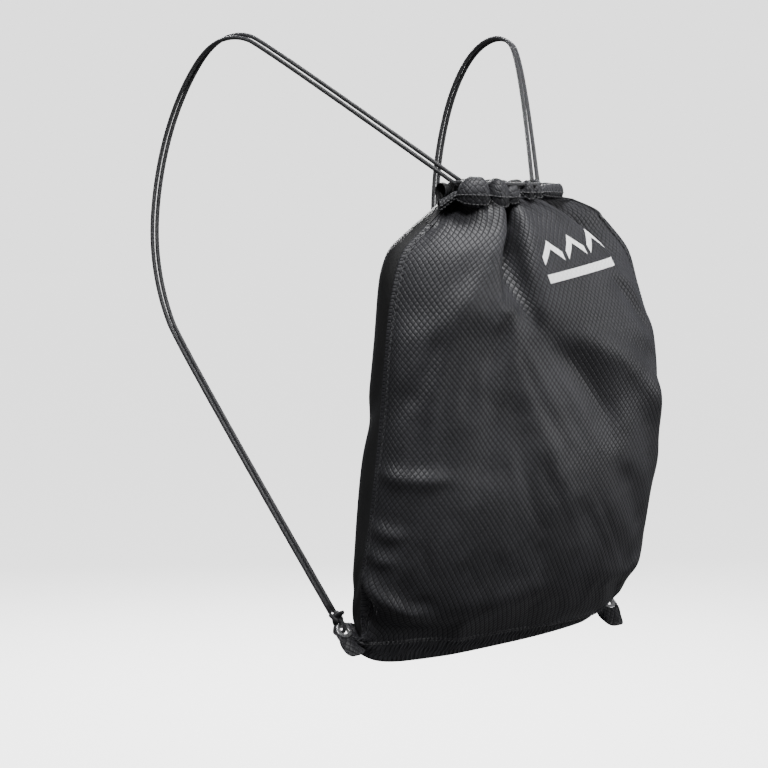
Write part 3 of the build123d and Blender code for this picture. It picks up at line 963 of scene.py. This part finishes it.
# ---- print
PRINT_AT = (0.2245, 0.3655)  # on the flat front panel
PRINT_SLANT = 0.20           # how much it climbs to the right
PRINT_SCALE = 1.15
INK_LIFT = 0.00035
CHEVRON_STEP, CHEVRON_HALF, CHEVRON_RISE, CHEVRON_FOOT = 0.0275, 0.0115, 0.0112, 0.004
BAR_HALF, BAR_FOOT = 0.0400, -0.0105
STROKE = 0.0070


def make_print():
    """Three chevrons over a bar, printed on the upper right of the front."""
    a, b = np.meshgrid(np.linspace(-1, 1, 29), np.linspace(0, 1, 9))
    peak = CHEVRON_FOOT + (1 - np.abs(a)) * CHEVRON_RISE + b * STROKE
    parts = [(middle + a * CHEVRON_HALF, peak) for middle in (-CHEVRON_STEP, 0.0, CHEVRON_STEP)]
    a, b = np.meshgrid(np.linspace(-1, 1, 81), np.linspace(0, 1, 9))
    parts.append((a * BAR_HALF, BAR_FOOT + b * STROKE))
    meshes = []
    for du, dv in parts:
        u, v = PRINT_AT[0] + du * PRINT_SCALE, PRINT_AT[1] + dv * PRINT_SCALE + du * PRINT_SLANT
        place, _ = panel_row("front", u, v, INK_LIFT)
        meshes.append((place.reshape(-1, 3), grid_faces(*u.shape), PANELS["front"].grain(u, v)))
    dress(add_mesh("printed_chevrons", *joined(meshes)), INK_LOOK, "print_ink", WITH_FRONT, "front_print")


# ---- drawcord casings
# Each casing round its cord, one entry for each point of the panel's top line above:
# middle x, y and z, in mm; its radius comes from the puffs below. Puffs and creases alternate where it is
# gathered.
FRONT_CASING = [
    (-65, -54, 180), (-60, -56, 183), (-55, -59, 187), (-51, -63, 190), (-46, -68, 191),
    (-38, -71, 190.5), (-29, -71, 190.5), (-22, -72, 189.5), (-16, -72, 189),
    (-11, -71, 189), (-7, -70, 189), (-3, -70, 188.5), (1, -70, 189), (5, -69, 191),
    (10, -69, 192.5), (15, -69, 193), (22, -69, 193), (30, -67, 193), (37, -64, 193.5), (48, -60, 193.5),
    (62, -56, 193.5),
]
BACK_CASING = [
    (-58, -46, 193), (-52, -44, 194), (-45, -42, 195), (-39, -40, 196), (-32, -39, 197),
    (-25, -38, 197), (-18, -38, 197), (-10, -38, 197), (-3, -37, 197), (5, -37, 197),
    (12, -37, 197), (19, -37, 197), (27, -38, 197), (34, -39, 197), (42, -41, 197),
    (50, -43, 196), (62, -47, 195),
]
# Where each gathered puff starts and ends in x, and its radius; between them the cloth is pinched.
PUFFS = {
    "front": [(-90, -50, 4.6), (-51, -25.5, 13.8), (-24.5, -8, 14.0), (-6.5, 6, 9.0), (13, 22.5, 9.0),
              (23.5, 33, 7.2), (34, 90, 6.8)],
    "back": [(-90, -46, 7.2), (-47, -33, 6.4), (-34, -18, 6.8), (-19, -6, 6.2), (-7, 9, 6.8), (8, 20, 6.2),
             (19, 35, 6.8), (34, 46, 6.2), (45, 90, 6.0)],
}
PINCHED = 2.6
CASING_STEPS = 420
CASING_DEEP, CASING_TALL = 0.86, 1.12   # a casing's section next to a circle
CASING_PLY = 0.0006
ROUND_FROM, ROUND_TO = -52, 232         # the round part of a section, in degrees from straight out
SKIRT_ANGLE = 6                         # from there to where the gathered foot starts
SKIRT_SHARES = (0.33, 0.72)             # of the way from the foot to the round part
CASING_NODES = {side: (f"{side}_channel", f"{side}_channel_stitching") for side in ("front", "back")}
STITCH_ROWS = (4, 6)                    # rows of a casing's section that are sewn


def puffed(x, side):
    """The casing's radius along its middle line, from pinch to puff."""
    radius = np.full(CASING_STEPS, PINCHED * MM)
    for start, end, full in PUFFS[side]:
        inside = np.clip(1 - np.abs((x / MM - (start + end) / 2) / ((end - start) / 2)) ** 2.4, 0, 1)
        radius = np.maximum(radius, (PINCHED + (full - PINCHED) * inside**0.55) * MM)
    return np.convolve(np.pad(radius, 1, "edge"), (0.25, 0.5, 0.25), "valid")


def make_casing(side, mouth, table, body):
    """The panel's top, folded over its cord and gathered on it, with its stitches."""
    t = np.linspace(0, FLAT_WIDTH, CASING_STEPS)
    both = np.column_stack([np.array(mouth[0][1], float), np.array(table, float)])
    centre = smooth_line(both, CASING_STEPS, 2)[:, 2:] * MM
    radius = puffed(centre[:, 0], side)
    foot, _ = PANELS[side].at(t, np.full_like(t, FLAT_HEIGHT))
    ahead = np.gradient(centre, axis=0) * [1, 1, 0]
    ahead /= np.linalg.norm(ahead, axis=1, keepdims=True)
    out = np.cross(ahead, (0, 0, 1)) * (1 if side == "front" else -1)
    along = lengths_along(centre)
    pucker = np.sin(along * TURN / 0.0041) + 0.8 * np.sin(along * TURN / 0.0067 + 2)
    tuck = 1 + 0.03 * np.sin(along * TURN / 0.0125)

    def ring(angle):
        a = math.radians(angle)
        low = 0.5 - 0.5 * math.sin(a)
        swell = (radius * tuck + pucker * 0.00028 * low)[:, None]
        level = centre + out * swell * CASING_DEEP * math.cos(a)
        return level + np.array([0, 0, CASING_TALL]) * swell * math.sin(a)

    def between(low, high, share):
        return low * (1 - share) + high * share

    start, end = ring(ROUND_FROM - SKIRT_ANGLE), ring(ROUND_TO + SKIRT_ANGLE)
    rows = [foot + out * CASING_PLY] + [between(foot + out * 0.001, start, share) for share in SKIRT_SHARES]
    rows += [ring(a) for a in np.linspace(ROUND_FROM, ROUND_TO, 19)]
    rows += [between(foot - out * 0.001, end, share) for share in SKIRT_SHARES[::-1]]
    rows.append(foot - out * CASING_PLY)
    grid = np.stack(rows)
    girth = np.cumsum(np.linalg.norm(np.diff(grid, axis=0, prepend=grid[:1]), axis=2), axis=0)
    uu, vv = np.broadcast_to(0.35 * t + 0.65 * along, girth.shape), girth + FLAT_HEIGHT
    flip = side == "back"
    ob = add_mesh(f"{side}_casing", grid.reshape(-1, 3), grid_faces(*uu.shape, flip=flip),
                  np.column_stack([uu.ravel(), vv.ravel()]))
    shell = ob.modifiers.new("ply", "SOLIDIFY")
    shell.thickness, shell.offset = CASING_PLY, -1
    look, slot, _ = CLOTHS[side]
    node, stitching = CASING_NODES[side]
    dress(ob, look, slot, body, node)
    normals = grid_normals(grid) * (-1 if flip else 1)
    rows = [(grid[k] + normals[k] * 0.0004, normals[k], 0.0036, 0.72, 0.0006) for k in STITCH_ROWS]
    add_stitches(f"{side}_casing_stitches", rows, body, stitching)


RUN_LEVEL = 199.3            # height of the cords inside the casings, in mm
RUN_ASIDE = 2.6              # from a casing's middle line to each cord, in mm
# Where the cords run in each casing and bend out of it, in mm, and the body that they ride there.
RUNS = {
    "front": {"y": -68, "way": -1, "bends": (-34, 30), "body": "mouth_front"},
    "back": {"y": -38, "way": 1, "bends": (-30, 31), "body": "bag"},
}


def make_cord_run(name, run):
    """A cord inside a casing, and where it comes out to become its strap."""
    side = -1 if name == "left" else 1
    y, way, bends, body = (RUNS[run][key] for key in ("y", "way", "bends", "body"))
    near, far = bends if side < 0 else bends[::-1]
    lane = y - way * side * RUN_ASIDE
    bend = np.array([near + side * 5, lane, RUN_LEVEL])
    tip = np.array(STRAPS[name]["exit"], float) + np.array([side * 1.5, way * -1.0, 1.0])
    inside = [(x, lane, RUN_LEVEL) for x in (far + side * 3, far + side * 20, near - side * 8)]
    points = np.array([*inside, bend, (bend + tip) / 2 + [0, 0, 0.6], tip]) * MM
    line = spline_line(points, 24)
    ob = add_mesh(f"{name}_cord_in_{run}_casing", *braided(line, CORD_CORE))
    dress(ob, CORD_LOOK, "cord", body, f"{name}_cord_{run}_run")


# ---- bottom corners
TAB_HOLE = 0.0047            # the tab's inner edge, round the eyelet
TAB_PLIES = 0.0022
# The tab is short towards the strap, and long down to the hem and towards the bag.
TAB_INWARD, TAB_OUTWARD, TAB_UP, TAB_DOWN = 0.0165, 0.0095, 0.0085, 0.026
TAB_STITCHED = (9, 11)       # rings of its mesh
KNOT_WIDE, KNOT_DEEP, KNOT_LONG = 0.00140, 0.00132, 0.0040
TIGHT, LOOP_TIGHT, TAIL_TIGHT = 0.0019, 0.00175, 0.00155   # radii of the cord where it is pulled
# Across the knot, lean and length of each trimmed tail.
TAILS = ((-0.0018, 0.10, 0.0135), (0.0021, -0.28, 0.0115))


def corner_axes(strap):
    """The eyelet's middle, and the ways to the bag, along the strap's pull and out of the face."""
    pull = pull_of(strap)
    inward = vec(strap["inward"], 0, 0)
    inward = (inward - pull * inward.dot(pull)).normalized()
    face = inward.cross(pull) * strap["inward"]
    return np.array(strap["corner"]) * MM, *(np.array(v) for v in (inward, pull, face))


def make_corner_tab(name, strap):
    """The bag's corner, sewn flat round the eyelet, with folds that run out from it."""
    origin, inward, pull, face = corner_axes(strap)
    spokes, rings = 96, 14
    a, share = TURN * np.arange(spokes) / spokes, np.linspace(0, 1, rings)[:, None]
    c, n = np.cos(a), np.sin(a)
    across, up = np.where(c > 0, TAB_INWARD, TAB_OUTWARD), np.where(n > 0, TAB_UP, TAB_DOWN)
    edge = 1 / ((abs(c) / across) ** 3 + (abs(n) / up) ** 3) ** (1 / 3)
    reach = TAB_HOLE + (edge - TAB_HOLE) * share
    fold = share**1.2 * (0.0011 * np.cos(5 * a + 0.6) + 0.0006 * np.cos(9 * a + 2))
    rise = 0.0013 + fold - 0.0018 * share**3
    uv = np.stack([reach * c, reach * n], -1)
    grid = origin + uv @ np.array([inward, pull]) + face * rise[..., None]
    faces = grid_faces(rings, spokes, flip=strap["inward"] > 0, closed=True)
    ob = add_mesh(f"{name}_corner_tab", grid.reshape(-1, 3), faces, uv.reshape(-1, 2))
    shell = ob.modifiers.new("plies", "SOLIDIFY")
    shell.thickness, shell.offset = TAB_PLIES, -1
    smooth = ob.modifiers.new("smooth", "SUBSURF")
    smooth.levels = smooth.render_levels = 1
    dress(ob, FRONT_LOOK, "ripstop_front", "bag", f"{name}_corner_patch")
    rows = []
    for ring in TAB_STITCHED:
        line = np.concatenate([grid[ring], grid[ring][:1]])
        rows.append((line + face * 0.0001, np.broadcast_to(face, line.shape), 0.0027))
    add_stitches(f"{name}_corner_stitches", rows, "bag")


def make_knot(name, strap):
    """The strap's end knot, its loop through the eyelet and its two trimmed tails."""
    origin, inward, pull, face = corner_axes(strap)
    centre = origin + pull * KNOT_REACH
    t = np.linspace(0, TURN, 160, endpoint=False)[:, None]
    wrap = inward * (np.sin(t) + 2 * np.sin(2 * t)) * KNOT_WIDE - pull * np.sin(3 * t) * KNOT_LONG
    wrap = wrap + face * (np.cos(t) - 2 * np.cos(2 * t)) * KNOT_DEEP
    parts = [braided(centre + wrap, TIGHT, 20, closed=True)]
    loop = pull * (0.0065 - 0.0066 * np.cos(t)) + face * (0.0052 * np.sin(t))
    loop = loop + inward * 0.0004 * np.sin(2 * t)
    parts.append(braided(origin + loop, LOOP_TIGHT, 20, closed=True))
    s = np.linspace(0, 1, 40)[:, None]
    for across, lean, tall in TAILS:
        tail = inward * (across + lean * 0.010 * s**1.6) + face * (0.002 + tall * s) - pull * (0.0035 * s * s)
        parts.append(braided(centre + tail, TAIL_TIGHT, 16, taper=0.0012))
    dress(add_mesh(f"{name}_knot", *joined(parts)), CORD_LOOK, "cord", "bag", f"{name}_end_knot")


def make_eyelet(name):
    for node in (f"{name}_eyelet", f"{name}_eyelet_washer"):
        materials = bpy.data.objects[node].data.materials
        materials.clear()
        materials.append(METAL_LOOK)


GRIDS = simulate_bag()
PANELS = {"front": Panel(GRIDS["front"], 1), "back": Panel(GRIDS["back"], -1)}
make_panels()
for side_name, side_edge in EDGES.items():
    make_side_seam(side_name, *side_edge)
    for cloth in CLOTHS:
        make_slit_hem(side_name, cloth, *side_edge)
for side_name, side_edge in EDGES.items():
    make_bartack(side_name, *side_edge)
make_bottom_hem()
make_casing("front", FRONT_MOUTH, FRONT_CASING, "mouth_front")
make_casing("back", BACK_MOUTH, BACK_CASING, "bag")
for side_name in STRAPS:
    for casing in RUNS:
        make_cord_run(side_name, casing)
for side_name, side_strap in STRAPS.items():
    make_corner_tab(side_name, side_strap)
    make_knot(side_name, side_strap)
    make_eyelet(side_name)
make_print()
